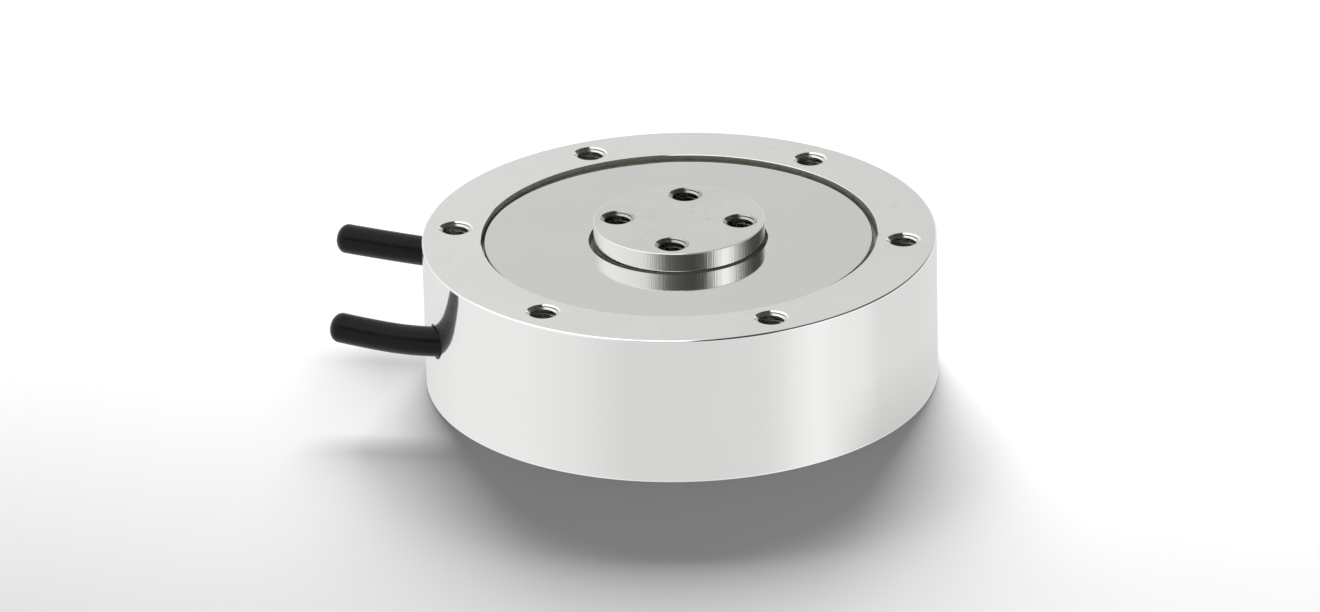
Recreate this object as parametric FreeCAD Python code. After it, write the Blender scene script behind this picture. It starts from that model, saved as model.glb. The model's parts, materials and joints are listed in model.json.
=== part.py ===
import FreeCAD, Part
import math
import os

# Force and torque sensor: a one-piece ring, hub and four spokes, closed by a cover above and below.
# Millimetres. The origin is the middle of the ring's bottom face, and +Z is the sensor's own axis.

Vector = FreeCAD.Vector

# Spring element from the inside out: boss, hub, spokes, the seats of the covers and the rim
boss_diameter = 32.0
hub_shoulder_width = 4.0
spoke_length = 12.0
cover_seat_width = 5.0
rim_width = 11.0
ring_height = 28.5
boss_rise = 3.0
overload_gap = 1.0
ring_edge_chamfer = 0.4
recess_edge_chamfer = 0.1
boss_edge_chamfer = 0.15

# Spokes, which stretch from hub to ring at mid-height
spoke_count = 4
spoke_width = 8.0
spoke_height = 9.0
spoke_corner_radius = 2.5
gauge_seat_length = 7.0
gauge_seat_depth = 0.4

# Threaded fastening holes, M6, drawn at the drill's size
bolt_major_diameter = 6.0
bolt_pitch = 1.0
bolt_mouth_flare = 0.4
bolt_depth = 12.0
drill_tip_angle = 118.0
ring_bolt_count = 6
ring_bolt_inset = 6.0
boss_bolt_count = 4
boss_bolt_inset = 4.5

# Top cover, seated on a bead of sealant in the recess and a little off centre
cover_thickness = 1.5
cover_sink = 0.8
cover_rim_gap = 0.76
cover_boss_gap = 0.7
cover_edge_chamfer = 0.15
cover_offset_x = -0.2
bead_thickness = 0.3
bead_edge_margin = 0.6

# Soft seal between the hub's shoulder and the underside of the top cover
boss_seal_thickness = 1.0
boss_seal_edge_margin = 0.5

# Bottom cover with its gasket and screws
bottom_sink = 0.3
bottom_rim_gap = 0.4
gasket_thickness = 0.5
gasket_edge_margin = 0.5
cover_screw_count = 6
cover_screw_inset = 2.2
cover_screw_angle = 30.0
cover_screw_depth = 4.5

# Small M2 screws, with the clearance round their shanks and heads
screw_diameter = 2.0
screw_thread_clearance = 0.02
screw_pass_clearance = 0.1
screw_hole_spare = 0.7
countersunk_head_diameter = 3.8
pan_head_diameter = 3.8
pan_head_height = 1.3
driver_slot_width = 0.5
driver_slot_depth = 0.5

# Strain gauges
gauge_length = 6.0
gauge_width = 4.0
gauge_backing = 0.06
gauge_grid_rise = 0.04
gauge_grid_length = 3.0
gauge_grid_width = 2.8
gauge_tab_length = 0.9
gauge_tab_width = 1.1
gauge_tab_spacing = 2.0
gauge_tab_margin = 0.1

# Terminal boards on lugs that stand in from the ring
board_lift = 1.5
board_thickness = 1.0
board_arc_angle = 58.0
board_inner_gap = 1.6
board_outer_gap = 0.8
lug_width = 5.0
lug_height = 4.0
lug_root_depth = 1.2
lug_screw_inset = 3.0
lug_end_angle = 5.0
resistor_length = 3.2
resistor_width = 1.6
resistor_height = 0.6
resistor_angles = [-15.0, 0.0, 15.0]

# Wiring looms, one above and one below the spokes
loom_diameter = 1.0
lead_diameter = 0.5
riser_diameter = 0.8
riser_reach = 2.5
loom_clearance = 0.02
loom_hub_gap = 0.1
lead_overlap = 0.6
lead_pitch = 0.55
lead_rise = 0.2
lead_bend_radius = 0.4
riser_bend_radius = 0.8

# Cables and what holds them in the wall
cable_diameter = 5.6
cable_hole_diameter = 6.6
cable_offset = 19.9
cable_tail = 0.5
cable_tip_radius = 0.9
cable_bend_radius = 27.0
seal_clearance = 0.02
seal_length = 8.0
seal_sink = 0.2
ferrule_wall = 0.75
ferrule_length = 2.4
ferrule_clearance = 0.1
core_diameter = 1.0
core_spacing = 1.4
core_lead_in = 1.0
core_bend_radius = 2.2

# How far a cutting tool runs past the face that it enters
tool_overrun = 3.0

# Steps outward, sideways and up from each hole's mouth that the free end of the cable takes
force_cable_steps = [(4.2, 0.0, 0.0), (12.3, 1.6, 0.4), (19.6, 2.6, 1.5)]
torque_cable_steps = [(4.3, 0.0, 0.0), (24.2, 2.9, 1.8)]

# Heights and radii that follow from the sizes above
boss_radius = boss_diameter / 2
hub_radius = boss_radius + hub_shoulder_width
cavity_radius = hub_radius + spoke_length
recess_radius = cavity_radius + cover_seat_width
ring_radius = recess_radius + rim_width
ring_bolt_radius = ring_radius - ring_bolt_inset
boss_bolt_radius = boss_radius - boss_bolt_inset
cover_screw_radius = cavity_radius + cover_screw_inset
cable_radius = cable_diameter / 2
screw_radius = screw_diameter / 2
middle_z = ring_height / 2
spoke_top_z = middle_z + spoke_height / 2
spoke_bottom_z = middle_z - spoke_height / 2
cover_top_z = ring_height - cover_sink
cover_under_z = cover_top_z - cover_thickness
top_seat_z = cover_under_z - bead_thickness
shoulder_z = cover_under_z - boss_seal_thickness
boss_top_z = ring_height + boss_rise
bottom_inside_z = bottom_sink + cover_thickness
bottom_seat_z = bottom_inside_z + gasket_thickness
hub_bottom_z = bottom_inside_z + overload_gap
board_z = spoke_top_z + board_lift
board_top_z = board_z + board_thickness
board_inner_radius = hub_radius + board_inner_gap
board_outer_radius = cavity_radius - board_outer_gap
resistor_middle = (board_inner_radius + board_outer_radius) / 2
lug_screw_radius = cavity_radius - lug_screw_inset
lug_half_angle = board_arc_angle / 2 - lug_end_angle
gauge_radius = (hub_radius + cavity_radius) / 2
seat_side = spoke_width / 2 - gauge_seat_depth
loom_radius = hub_radius + loom_hub_gap + loom_diameter / 2
ferrule_radius = cable_radius + ferrule_wall
ferrule_start = math.sqrt(cavity_radius**2 - (cable_offset + ferrule_radius) ** 2) - ferrule_clearance
cable_inner_x = ferrule_start - ferrule_length - cable_tail
mouth_x = math.sqrt(ring_radius**2 - cable_offset**2)

# Each circuit's cable side, 1 towards +Y and -1 towards -Y, and the direction of its board
force_side = -1
torque_side = 1
force_board_angle = 225.0
torque_board_angle = 135.0


def polar(radius, degrees, z=0.0):
    """A point at this radius and direction round the axis."""
    a = math.radians(degrees)
    return Vector(radius * math.cos(a), radius * math.sin(a), z)


def turned(shape, degrees):
    """A copy of the shape, turned about the sensor's axis."""
    copy = shape.copy()
    copy.rotate(Vector(0, 0, 0), Vector(0, 0, 1), degrees)
    return copy


def revolved(outline, degrees=360.0):
    """The solid that an outline of (radius, height) points sweeps about the axis."""
    points = [Vector(r, 0, z) for r, z in outline]
    face = Part.Face(Part.makePolygon(points + [points[0]]))
    return face.revolve(Vector(0, 0, 0), Vector(0, 0, 1), degrees)


def upright(radius, low, high, at=Vector(0, 0, 0)):
    """A cylinder that stands at a point, from one height to another."""
    return Part.makeCylinder(radius, high - low, Vector(at.x, at.y, low))


def washer(outer, inner, low, high):
    """A flat ring about the axis."""
    return revolved([(inner, low), (outer, low), (outer, high), (inner, high)])


def block(x, y, z):
    """A box from its (low, high) pairs along each axis."""
    return Part.makeBox(x[1] - x[0], y[1] - y[0], z[1] - z[0], Vector(x[0], y[0], z[0]))


def joined(shapes):
    """One solid of shapes that touch or overlap."""
    whole = shapes[0]
    if len(shapes) > 1:
        whole = shapes[0].fuse(shapes[1:])
    return whole.removeSplitter()


def ring_of(shape, count, first_angle=0.0):
    """Copies of a shape, evenly spaced about the axis."""
    return [turned(shape, first_angle + k * 360.0 / count) for k in range(count)]


def tapped_hole(at, top_z):
    """The cutter of a blind bolt hole with a chamfered mouth and the drill's cone at its foot."""
    drill = (bolt_major_diameter - bolt_pitch) / 2
    mouth = (bolt_major_diameter + bolt_mouth_flare) / 2
    tip = drill / math.tan(math.radians(drill_tip_angle / 2))
    foot = top_z - bolt_depth
    outline = [
        (0, foot - tip),
        (drill, foot),
        (drill, top_z - (mouth - drill)),
        (mouth, top_z),
        (mouth, top_z + tool_overrun),
        (0, top_z + tool_overrun),
    ]
    hole = revolved(outline)
    hole.translate(Vector(at.x, at.y, 0))
    return hole


def ring_blank():
    """The turned ring with a stepped recess for each cover."""
    edge = ring_edge_chamfer
    lip = recess_edge_chamfer
    outline = [
        (cavity_radius, bottom_seat_z),
        (recess_radius, bottom_seat_z),
        (recess_radius, lip),
        (recess_radius + lip, 0),
        (ring_radius - edge, 0),
        (ring_radius, edge),
        (ring_radius, ring_height - edge),
        (ring_radius - edge, ring_height),
        (recess_radius + lip, ring_height),
        (recess_radius, ring_height - lip),
        (recess_radius, top_seat_z),
        (cavity_radius, top_seat_z),
    ]
    return revolved(outline)


def hub_blank():
    """The hub with its shoulder and the boss above it."""
    edge = boss_edge_chamfer
    outline = [
        (0, hub_bottom_z),
        (hub_radius, hub_bottom_z),
        (hub_radius, shoulder_z),
        (boss_radius, shoulder_z),
        (boss_radius, boss_top_z - edge),
        (boss_radius - edge, boss_top_z),
        (0, boss_top_z),
    ]
    return revolved(outline)


def spoke_pocket():
    """The milled window between two spokes, with round corners and the gauge seats in its sides."""
    half = spoke_width / 2
    height = (spoke_bottom_z, spoke_top_z)
    reach = (half, cavity_radius)
    window = washer(cavity_radius, hub_radius, *height).common(block(reach, reach, height))
    corners = [e for e in window.Edges if abs(e.tangentAt(e.FirstParameter).z) > 0.99]
    window = window.makeFillet(spoke_corner_radius, corners)
    seat = (gauge_radius - gauge_seat_length / 2, gauge_radius + gauge_seat_length / 2)
    side = (seat_side, half + gauge_seat_depth)
    return joined([window, block(seat, side, height), block(side, seat, height)])


def spokes():
    """A disc between hub and ring with the pockets milled out of it."""
    disc = washer(cavity_radius, hub_radius, spoke_bottom_z, spoke_top_z)
    return disc.cut(ring_of(spoke_pocket(), spoke_count))


def board_lug(degrees):
    """A round-ended lug on the cavity's wall that a board's screw goes into."""
    low = board_z - lug_height
    half = lug_width / 2
    nose = upright(half, low, board_z, Vector(lug_screw_radius, 0, 0))
    wall = upright(cavity_radius + lug_root_depth, low, board_z)
    root = block((lug_screw_radius, ring_radius), (-half, half), (low, board_z)).common(wall)
    return turned(joined([nose, root]), degrees)


def board_screw_angles(board_angle):
    """The directions of one board's two screws."""
    return [board_angle - lug_half_angle, board_angle + lug_half_angle]


def lug_angles():
    """The directions of all four lugs."""
    return board_screw_angles(force_board_angle) + board_screw_angles(torque_board_angle)


def cable_bore(side):
    """The cutter of the hole that a cable leaves by."""
    length = ring_radius - ferrule_start + ferrule_length
    start = Vector(-ring_radius, side * cable_offset, middle_z)
    return Part.makeCylinder(cable_hole_diameter / 2, length, start, Vector(1, 0, 0))


def sensor_body():
    """The spring element: ring, spokes, hub and boss machined from one piece."""
    blank = joined([ring_blank(), spokes(), hub_blank()] + [board_lug(a) for a in lug_angles()])
    cutters = [
        tapped_hole(polar(ring_bolt_radius, k * 360.0 / ring_bolt_count), ring_height)
        for k in range(ring_bolt_count)
    ]
    cutters += [
        tapped_hole(polar(boss_bolt_radius, k * 360.0 / boss_bolt_count), boss_top_z)
        for k in range(boss_bolt_count)
    ]
    cutters += [cable_bore(force_side), cable_bore(torque_side)]
    thread = screw_radius + screw_thread_clearance
    cutters += [
        upright(thread, board_z - lug_height, board_z, polar(lug_screw_radius, a)) for a in lug_angles()
    ]
    foot = bottom_seat_z + cover_screw_depth + screw_hole_spare
    cutters += [
        upright(thread, bottom_seat_z, foot, polar(cover_screw_radius, a)) for a in cover_screw_angles()
    ]
    return blank.cut(cutters)


def top_cover():
    """The ground disc that closes the top, with the boss standing through its middle."""
    edge = cover_edge_chamfer
    inner = boss_radius + cover_boss_gap
    outer = recess_radius - cover_rim_gap
    outline = [
        (inner, cover_under_z),
        (outer, cover_under_z),
        (outer, cover_top_z - edge),
        (outer - edge, cover_top_z),
        (inner + edge, cover_top_z),
        (inner, cover_top_z - edge),
    ]
    cover = revolved(outline)
    cover.translate(Vector(cover_offset_x, 0, 0))
    return cover


def top_cover_bead():
    """The bead of sealant that the top cover is bedded on."""
    outer = recess_radius - bead_edge_margin
    return washer(outer, cavity_radius + bead_edge_margin, top_seat_z, cover_under_z)


def boss_seal():
    """The soft ring that closes the gap round the boss from below."""
    inner = boss_radius + seal_clearance
    return washer(hub_radius - boss_seal_edge_margin, inner, shoulder_z, cover_under_z)


def cover_screw_angles():
    """The directions of the bottom cover's screws."""
    return [cover_screw_angle + k * 360.0 / cover_screw_count for k in range(cover_screw_count)]


def countersink(clearance):
    """A flat head and shank outline, grown by a clearance, at the bottom cover's screw circle."""
    head = countersunk_head_diameter / 2 + clearance
    shank = screw_radius + clearance
    return head, shank, bottom_sink + head - shank


def bottom_cover():
    """The disc that closes the bottom, held by countersunk screws."""
    edge = cover_edge_chamfer
    outer = recess_radius - bottom_rim_gap
    plate = [
        (0, bottom_sink),
        (outer - edge, bottom_sink),
        (outer, bottom_sink + edge),
        (outer, bottom_inside_z),
        (0, bottom_inside_z),
    ]
    head, shank, neck_z = countersink(screw_pass_clearance)
    through = bottom_inside_z + tool_overrun
    outline = [(0, bottom_sink), (head, bottom_sink), (shank, neck_z), (shank, through), (0, through)]
    cutter = revolved(outline)
    cutter.translate(Vector(cover_screw_radius, 0, 0))
    return revolved(plate).cut(ring_of(cutter, cover_screw_count, cover_screw_angle))


def bottom_gasket():
    """The flat gasket between the bottom cover and its seat."""
    outer = recess_radius - gasket_edge_margin
    flat = washer(outer, cavity_radius + gasket_edge_margin, bottom_inside_z, bottom_seat_z)
    hole = screw_radius + screw_pass_clearance
    holes = [
        upright(hole, bottom_inside_z, bottom_seat_z, polar(cover_screw_radius, a))
        for a in cover_screw_angles()
    ]
    return flat.cut(holes)


def bottom_cover_screws():
    """Countersunk screws with a straight driver slot."""
    head, shank, neck_z = countersink(0.0)
    end_z = bottom_seat_z + cover_screw_depth
    screw = revolved(
        [(0, bottom_sink), (head, bottom_sink), (shank, neck_z), (shank, end_z), (0, end_z)]
    )
    half = driver_slot_width / 2
    slot = block((-head, head), (-half, half), (bottom_sink, bottom_sink + driver_slot_depth))
    screw = screw.cut(slot)
    screw.translate(Vector(cover_screw_radius, 0, 0))
    return Part.makeCompound(ring_of(screw, cover_screw_count, cover_screw_angle))


def flat_gauge():
    """A foil gauge lying flat at the origin: backing, measuring grid and two solder tabs."""
    top = gauge_backing + gauge_grid_rise
    length = (-gauge_length / 2, gauge_length / 2)
    width = (-gauge_width / 2, gauge_width / 2)
    grid_end = gauge_grid_length / 2
    backing = block(length, width, (0, gauge_backing))
    grid = block((-grid_end, grid_end), (-gauge_grid_width / 2, gauge_grid_width / 2), (gauge_backing, top))
    tab_end = gauge_tab_length - gauge_length / 2
    tabs = []
    for side in (-1, 1):
        middle = side * gauge_tab_spacing / 2
        across = (middle - gauge_tab_width / 2, middle + gauge_tab_width / 2)
        tabs.append(block((length[0] + gauge_tab_margin, tab_end), across, (gauge_backing, top)))
    return joined([backing, grid] + tabs)


def force_gauge(k):
    """The gauge on the top face of one spoke."""
    gauge = flat_gauge()
    gauge.translate(Vector(gauge_radius, 0, spoke_top_z))
    return turned(gauge, k * 360.0 / spoke_count)


def spoke_flank(k):
    """The flank that carries a spoke's torque gauge, which alternates from spoke to spoke."""
    return 1 if k % 2 == 0 else -1


def torque_gauge(k):
    """The gauge in the seat milled in one flank of a spoke."""
    flank = spoke_flank(k)
    gauge = flat_gauge()
    gauge.rotate(Vector(0, 0, 0), Vector(1, 0, 0), -90 * flank)
    gauge.translate(Vector(gauge_radius, flank * seat_side, middle_z))
    return turned(gauge, k * 360.0 / spoke_count)


def terminal_board(board_angle):
    """A board in the shape of a ring's sector, on its two lugs."""
    outline = [
        (board_inner_radius, board_z),
        (board_outer_radius, board_z),
        (board_outer_radius, board_top_z),
        (board_inner_radius, board_top_z),
    ]
    board = turned(revolved(outline, board_arc_angle), board_angle - board_arc_angle / 2)
    hole = screw_radius + screw_pass_clearance
    places = [polar(lug_screw_radius, a) for a in board_screw_angles(board_angle)]
    holes = [upright(hole, board_z, board_top_z, at) for at in places]
    return board.cut(holes)


def board_screws(board_angle):
    """The two pan-head screws of one board."""
    head = pan_head_diameter / 2
    head_z = board_top_z + pan_head_height
    foot_z = board_z - lug_height
    outline = [
        (0, foot_z),
        (screw_radius, foot_z),
        (screw_radius, board_top_z),
        (head, board_top_z),
        (head, head_z),
        (0, head_z),
    ]
    half = driver_slot_width / 2
    slot = block((-head, head), (-half, half), (head_z - driver_slot_depth, head_z))
    screw = revolved(outline).cut(slot)
    screw.translate(Vector(lug_screw_radius, 0, 0))
    return Part.makeCompound([turned(screw, a) for a in board_screw_angles(board_angle)])


def board_resistors(board_angle):
    """The balancing resistors in a row on one board."""
    half = resistor_width / 2
    chip = block(
        (resistor_middle - resistor_length / 2, resistor_middle + resistor_length / 2),
        (-half, half),
        (board_top_z, board_top_z + resistor_height),
    )
    return Part.makeCompound([turned(chip, board_angle + a) for a in resistor_angles])


def riser(board_angle, loom_z):
    """The bundle that goes from a loom out past the hub's wall and up to its board."""
    corner = loom_radius + riser_reach
    route = [Vector(loom_radius, 0, loom_z), Vector(corner, 0, loom_z), Vector(corner, 0, board_z)]
    return turned(swept_round(rounded_path(route, riser_bend_radius), riser_diameter / 2), board_angle)


def force_leads():
    """The loom that lies on the spokes beside the hub, with two leads to each top gauge."""
    loom_z = spoke_top_z + loom_clearance + loom_diameter / 2
    lead = lead_diameter / 2
    lead_z = spoke_top_z + gauge_backing + gauge_grid_rise + lead
    reach = gauge_radius - gauge_length / 2 + lead_overlap - loom_radius
    pair = []
    for side in (-1, 1):
        start = Vector(loom_radius, side * gauge_tab_spacing / 2, lead_z)
        pair.append(Part.makeCylinder(lead, reach, start, Vector(1, 0, 0)))
    leads = [turned(p, k * 360.0 / spoke_count) for k in range(spoke_count) for p in pair]
    loom = Part.makeTorus(loom_radius, loom_diameter / 2, Vector(0, 0, loom_z))
    return joined([loom, riser(force_board_angle, loom_z)] + leads)


def torque_leads():
    """The loom under the spokes, with two leads up to each gauge on a flank."""
    loom_z = spoke_bottom_z - loom_clearance - loom_diameter / 2
    lead = lead_diameter / 2
    off = seat_side + gauge_backing + gauge_grid_rise + lead
    x = gauge_radius - gauge_length / 2 + lead_overlap
    leads = []
    for k in range(spoke_count):
        y = spoke_flank(k) * off
        for row in (0, 1):
            level = loom_z + lead_rise - row * lead_pitch
            corner_x = x - (1 - row) * lead_pitch
            end_z = middle_z + (row - 0.5) * gauge_tab_spacing
            route = [Vector(loom_radius, y, level), Vector(corner_x, y, level), Vector(corner_x, y, end_z)]
            wire = swept_round(rounded_path(route, lead_bend_radius), lead)
            leads.append(turned(wire, k * 360.0 / spoke_count))
    loom = Part.makeTorus(loom_radius, loom_diameter / 2, Vector(0, 0, loom_z))
    return joined([loom, riser(torque_board_angle, loom_z)] + leads)


def rounded_path(points, radius):
    """A wire of straight runs joined by tangent arcs of one radius."""
    edges = []
    start = points[0]
    for before, corner, after in zip(points, points[1:], points[2:]):
        back = (before - corner).normalize()
        ahead = (after - corner).normalize()
        turn = math.pi - back.getAngle(ahead)
        tangent = radius * math.tan(turn / 2)
        arc_start = corner + back * tangent
        arc_end = corner + ahead * tangent
        arc_middle = corner + (back + ahead).normalize() * (radius / math.cos(turn / 2) - radius)
        edges.append(Part.LineSegment(start, arc_start).toShape())
        edges.append(Part.Arc(arc_start, arc_middle, arc_end).toShape())
        start = arc_end
    edges.append(Part.LineSegment(start, points[-1]).toShape())
    return Part.Wire(edges)


def swept_round(path, radius):
    """A round bar along a path."""
    first = path.Edges[0]
    start = first.valueAt(first.FirstParameter)
    ahead = first.tangentAt(first.FirstParameter)
    return path.makePipeShell([Part.Wire(Part.makeCircle(radius, start, ahead))], True, False)


def cable_route(side, steps):
    """The corners of a cable's line, from its inner end to its free end."""
    y = side * cable_offset
    inner = Vector(-cable_inner_x, y, middle_z)
    return [inner] + [Vector(-mouth_x - out, y + aside, middle_z + up) for out, aside, up in steps]


def cable(side, steps):
    """The cable's jacket, cut off blunt with a rounded rim."""
    route = cable_route(side, steps)
    path = rounded_path(route, cable_bend_radius)
    jacket = swept_round(path, cable_radius)
    share = jacket.Volume / (math.pi * cable_radius**2 * path.Length)
    print("cable length", round(path.Length, 2), "bend radius", cable_bend_radius)
    print("volume against section times length", round(share, 4))
    rim = [e for e in jacket.Edges if e.Closed and (e.CenterOfMass - route[-1]).Length < cable_radius / 2]
    return jacket.makeFillet(cable_tip_radius, rim)


def cable_seal(side):
    """The rubber sleeve between a cable and its hole, trimmed to the ring's curve."""
    start = Vector(-ring_radius, side * cable_offset, middle_z)
    length = ring_radius - mouth_x + seal_length
    along = Vector(1, 0, 0)
    sleeve = Part.makeCylinder(cable_hole_diameter / 2 - seal_clearance, length, start, along)
    bore = Part.makeCylinder(cable_radius + seal_clearance, length, start, along)
    trim = upright(ring_radius - seal_sink, 0, ring_height)
    return sleeve.cut(bore).common(trim)


def cable_ferrule(side):
    """The crimped ring inside the wall that keeps a cable from being pulled out."""
    start = Vector(-ferrule_start, side * cable_offset, middle_z)
    along = Vector(1, 0, 0)
    outside = Part.makeCylinder(ferrule_radius, ferrule_length, start, along)
    return outside.cut(Part.makeCylinder(cable_radius + seal_clearance, ferrule_length, start, along))


def cable_cores(side):
    """Four insulated cores that leave the jacket and turn up to the board."""
    cores = []
    x = -cable_inner_x
    for across in (-0.5, 0.5):
        for level in (-0.5, 0.5):
            y = side * cable_offset + across * core_spacing
            z = middle_z + level * core_spacing
            radius = core_bend_radius - level * core_spacing
            corner_x = x + core_lead_in + radius
            points = [Vector(x, y, z), Vector(corner_x, y, z), Vector(corner_x, y, board_z)]
            cores.append(swept_round(rounded_path(points, radius), core_diameter / 2))
    return Part.makeCompound(cores)


def main():
    """Builds every piece and writes it under its own name."""
    pieces = {
        "sensor_body": sensor_body(),
        "top_cover": top_cover(),
        "top_cover_bead": top_cover_bead(),
        "boss_seal": boss_seal(),
        "bottom_cover": bottom_cover(),
        "bottom_gasket": bottom_gasket(),
        "bottom_cover_screws": bottom_cover_screws(),
        "force_leads": force_leads(),
        "torque_leads": torque_leads(),
    }
    for k in range(spoke_count):
        pieces["force_gauge_%d" % (k + 1)] = force_gauge(k)
        pieces["torque_gauge_%d" % (k + 1)] = torque_gauge(k)
    circuits = [
        ("force", force_side, force_board_angle, force_cable_steps),
        ("torque", torque_side, torque_board_angle, torque_cable_steps),
    ]
    for name, side, board_angle, steps in circuits:
        pieces[name + "_board"] = terminal_board(board_angle)
        pieces[name + "_board_screws"] = board_screws(board_angle)
        pieces[name + "_board_resistors"] = board_resistors(board_angle)
        pieces[name + "_cable"] = cable(side, steps)
        pieces[name + "_cable_seal"] = cable_seal(side)
        pieces[name + "_cable_ferrule"] = cable_ferrule(side)
        pieces[name + "_cable_cores"] = cable_cores(side)
    os.makedirs("parts", exist_ok=True)
    for name, shape in pieces.items():
        shape.exportStep(os.path.join("parts", name + ".step"))
        print(name, "solids", len(shape.Solids), "valid", shape.isValid(), "volume", round(shape.Volume, 2))


main()
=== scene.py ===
import json
import logging
import math
from dataclasses import dataclass, field
from enum import Enum
from typing import Callable, Iterable, Optional, Sequence

import bmesh
import bpy
from mathutils import Matrix, Vector


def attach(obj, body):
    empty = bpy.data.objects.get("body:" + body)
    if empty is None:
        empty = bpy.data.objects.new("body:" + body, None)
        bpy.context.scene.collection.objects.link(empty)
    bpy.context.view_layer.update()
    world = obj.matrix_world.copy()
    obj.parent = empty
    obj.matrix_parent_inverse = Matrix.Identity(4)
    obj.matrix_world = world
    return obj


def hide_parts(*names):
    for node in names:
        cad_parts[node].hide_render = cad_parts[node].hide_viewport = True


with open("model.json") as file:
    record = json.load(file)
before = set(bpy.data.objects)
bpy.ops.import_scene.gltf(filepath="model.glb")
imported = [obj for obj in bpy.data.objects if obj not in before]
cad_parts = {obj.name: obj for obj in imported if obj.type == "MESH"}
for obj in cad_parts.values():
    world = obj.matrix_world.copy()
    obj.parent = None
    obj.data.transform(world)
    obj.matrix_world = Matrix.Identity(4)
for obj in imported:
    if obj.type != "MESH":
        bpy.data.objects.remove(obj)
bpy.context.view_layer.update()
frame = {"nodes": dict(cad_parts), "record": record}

# A force and torque sensor on a pale studio floor. Lengths are in metres and angles in degrees.

LOG = logging.getLogger("sensor")
MM = 0.001
MICRON = 0.000001
Object = bpy.types.Object
Node = bpy.types.Node
Socket = bpy.types.NodeSocket
Tree = bpy.types.NodeTree
Pair = tuple[float, float]
Point = tuple[float, float, float]
Colour = tuple[float, float, float]
Rgba = tuple[float, float, float, float]
Inputs = dict[int | str, object]


class Side(Enum):
    """Which side of the X axis a cable leaves on, as the sign of Y."""

    FRONT = -1
    REAR = 1


class Region(Enum):
    """The differently finished regions of the spring element, in material slot order."""

    SIDE = 0
    RING_FACE = 1
    BOSS_SIDE = 2
    BOSS_FACE = 3
    EDGE = 4
    THREAD = 5
    BOSS_HOLE = 6
    DULL = 7
    INSIDE = 8


# Modelling helpers


def deselect_all() -> None:
    """Clears the selection, so that an operator acts on the next piece alone."""
    if bpy.context.object and bpy.context.object.mode != "OBJECT":
        bpy.ops.object.mode_set(mode="OBJECT")
    bpy.ops.object.select_all(action="DESELECT")


def make_active(obj: Object) -> None:
    """Makes one object the only selected and active one.

    Args:
        obj: The object to work on.
    """
    deselect_all()
    obj.select_set(True)
    bpy.context.view_layer.objects.active = obj


def edit(obj: Object, *steps: Callable[[], object]) -> None:
    """Runs edit-mode operators on all of a mesh.

    Args:
        obj: The mesh object.
        steps: Calls to make in turn, with everything selected before the first.
    """
    make_active(obj)
    bpy.ops.object.mode_set(mode="EDIT")
    bpy.ops.mesh.select_all(action="SELECT")
    for step in steps:
        step()
    bpy.ops.object.mode_set(mode="OBJECT")


def settle(obj: Object, name: str) -> Object:
    """Names an object and applies its place, turn and scale to its mesh.

    Args:
        obj: The mesh object.
        name: Its new name.

    Returns:
        The same object.
    """
    make_active(obj)
    bpy.ops.object.transform_apply(location=True, rotation=True, scale=True)
    obj.name = name
    obj.data.name = name
    return obj


def tidy_mesh(obj: Object, weld: float = 1e-6) -> None:
    """Merges doubled points and turns every face outwards.

    Args:
        obj: The mesh object.
        weld: The distance within which points merge.
    """
    edit(
        obj,
        lambda: bpy.ops.mesh.remove_doubles(threshold=weld),
        lambda: bpy.ops.mesh.normals_make_consistent(inside=False),
    )


def apply_modifiers(obj: Object) -> None:
    """Applies each modifier of an object in its order.

    Args:
        obj: The object.
    """
    make_active(obj)
    for modifier in list(obj.modifiers):
        bpy.ops.object.modifier_apply(modifier=modifier.name)


def drawn_line(name: str, outline: Sequence[Pair], closed: bool) -> Object:
    """Draws a line of (radius, height) points in the XZ plane by extruding one vertex.

    Args:
        name: The object's name.
        outline: The points in order, in metres.
        closed: Whether the last point joins the first.

    Returns:
        A mesh object with only vertices and edges.
    """
    deselect_all()
    start = Vector((outline[0][0], 0.0, outline[0][1]))
    bpy.ops.mesh.primitive_plane_add(size=MM, location=start)
    obj = bpy.context.object
    settle(obj, name)
    bpy.ops.object.mode_set(mode="EDIT")
    bpy.ops.mesh.select_all(action="SELECT")
    bpy.ops.mesh.merge(type="CENTER")
    for before, after in zip(outline, outline[1:]):
        move = (after[0] - before[0], 0.0, after[1] - before[1])
        bpy.ops.mesh.extrude_region_move(TRANSFORM_OT_translate={"value": move})
    if closed:
        bpy.ops.object.mode_set(mode="OBJECT")
        for index, vertex in enumerate(obj.data.vertices):
            vertex.select = index in (0, len(outline) - 1)
        bpy.ops.object.mode_set(mode="EDIT")
        bpy.ops.mesh.edge_face_add()
    bpy.ops.object.mode_set(mode="OBJECT")
    return obj


def spun(name: str, outline: Sequence[Pair], steps: int, closed: bool = True) -> Object:
    """Spins an outline of (radius, height) points a full turn about the Z axis.

    Args:
        name: The object's name.
        outline: The points in order, in metres.
        steps: How many steps the turn takes.
        closed: Whether the outline is a loop, or runs from axis to axis.

    Returns:
        A closed solid of revolution.
    """
    obj = drawn_line(name, outline, closed)
    edit(
        obj,
        lambda: bpy.ops.mesh.spin(steps=steps, angle=math.tau, center=(0, 0, 0), axis=(0, 0, 1)),
    )
    tidy_mesh(obj)
    return obj


def upright_cylinder(name: str, radius: float, low: float, high: float, at: Vector, sides: int) -> Object:
    """Adds a cylinder that stands from one height to another.

    Args:
        name: The object's name.
        radius: Its radius.
        low: The height of its foot.
        high: The height of its top.
        at: The point that it stands over.
        sides: How many sides it has.

    Returns:
        The cylinder.
    """
    deselect_all()
    middle = (at.x, at.y, (low + high) / 2)
    bpy.ops.mesh.primitive_cylinder_add(vertices=sides, radius=radius, depth=high - low, location=middle)
    return settle(bpy.context.object, name)


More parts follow.
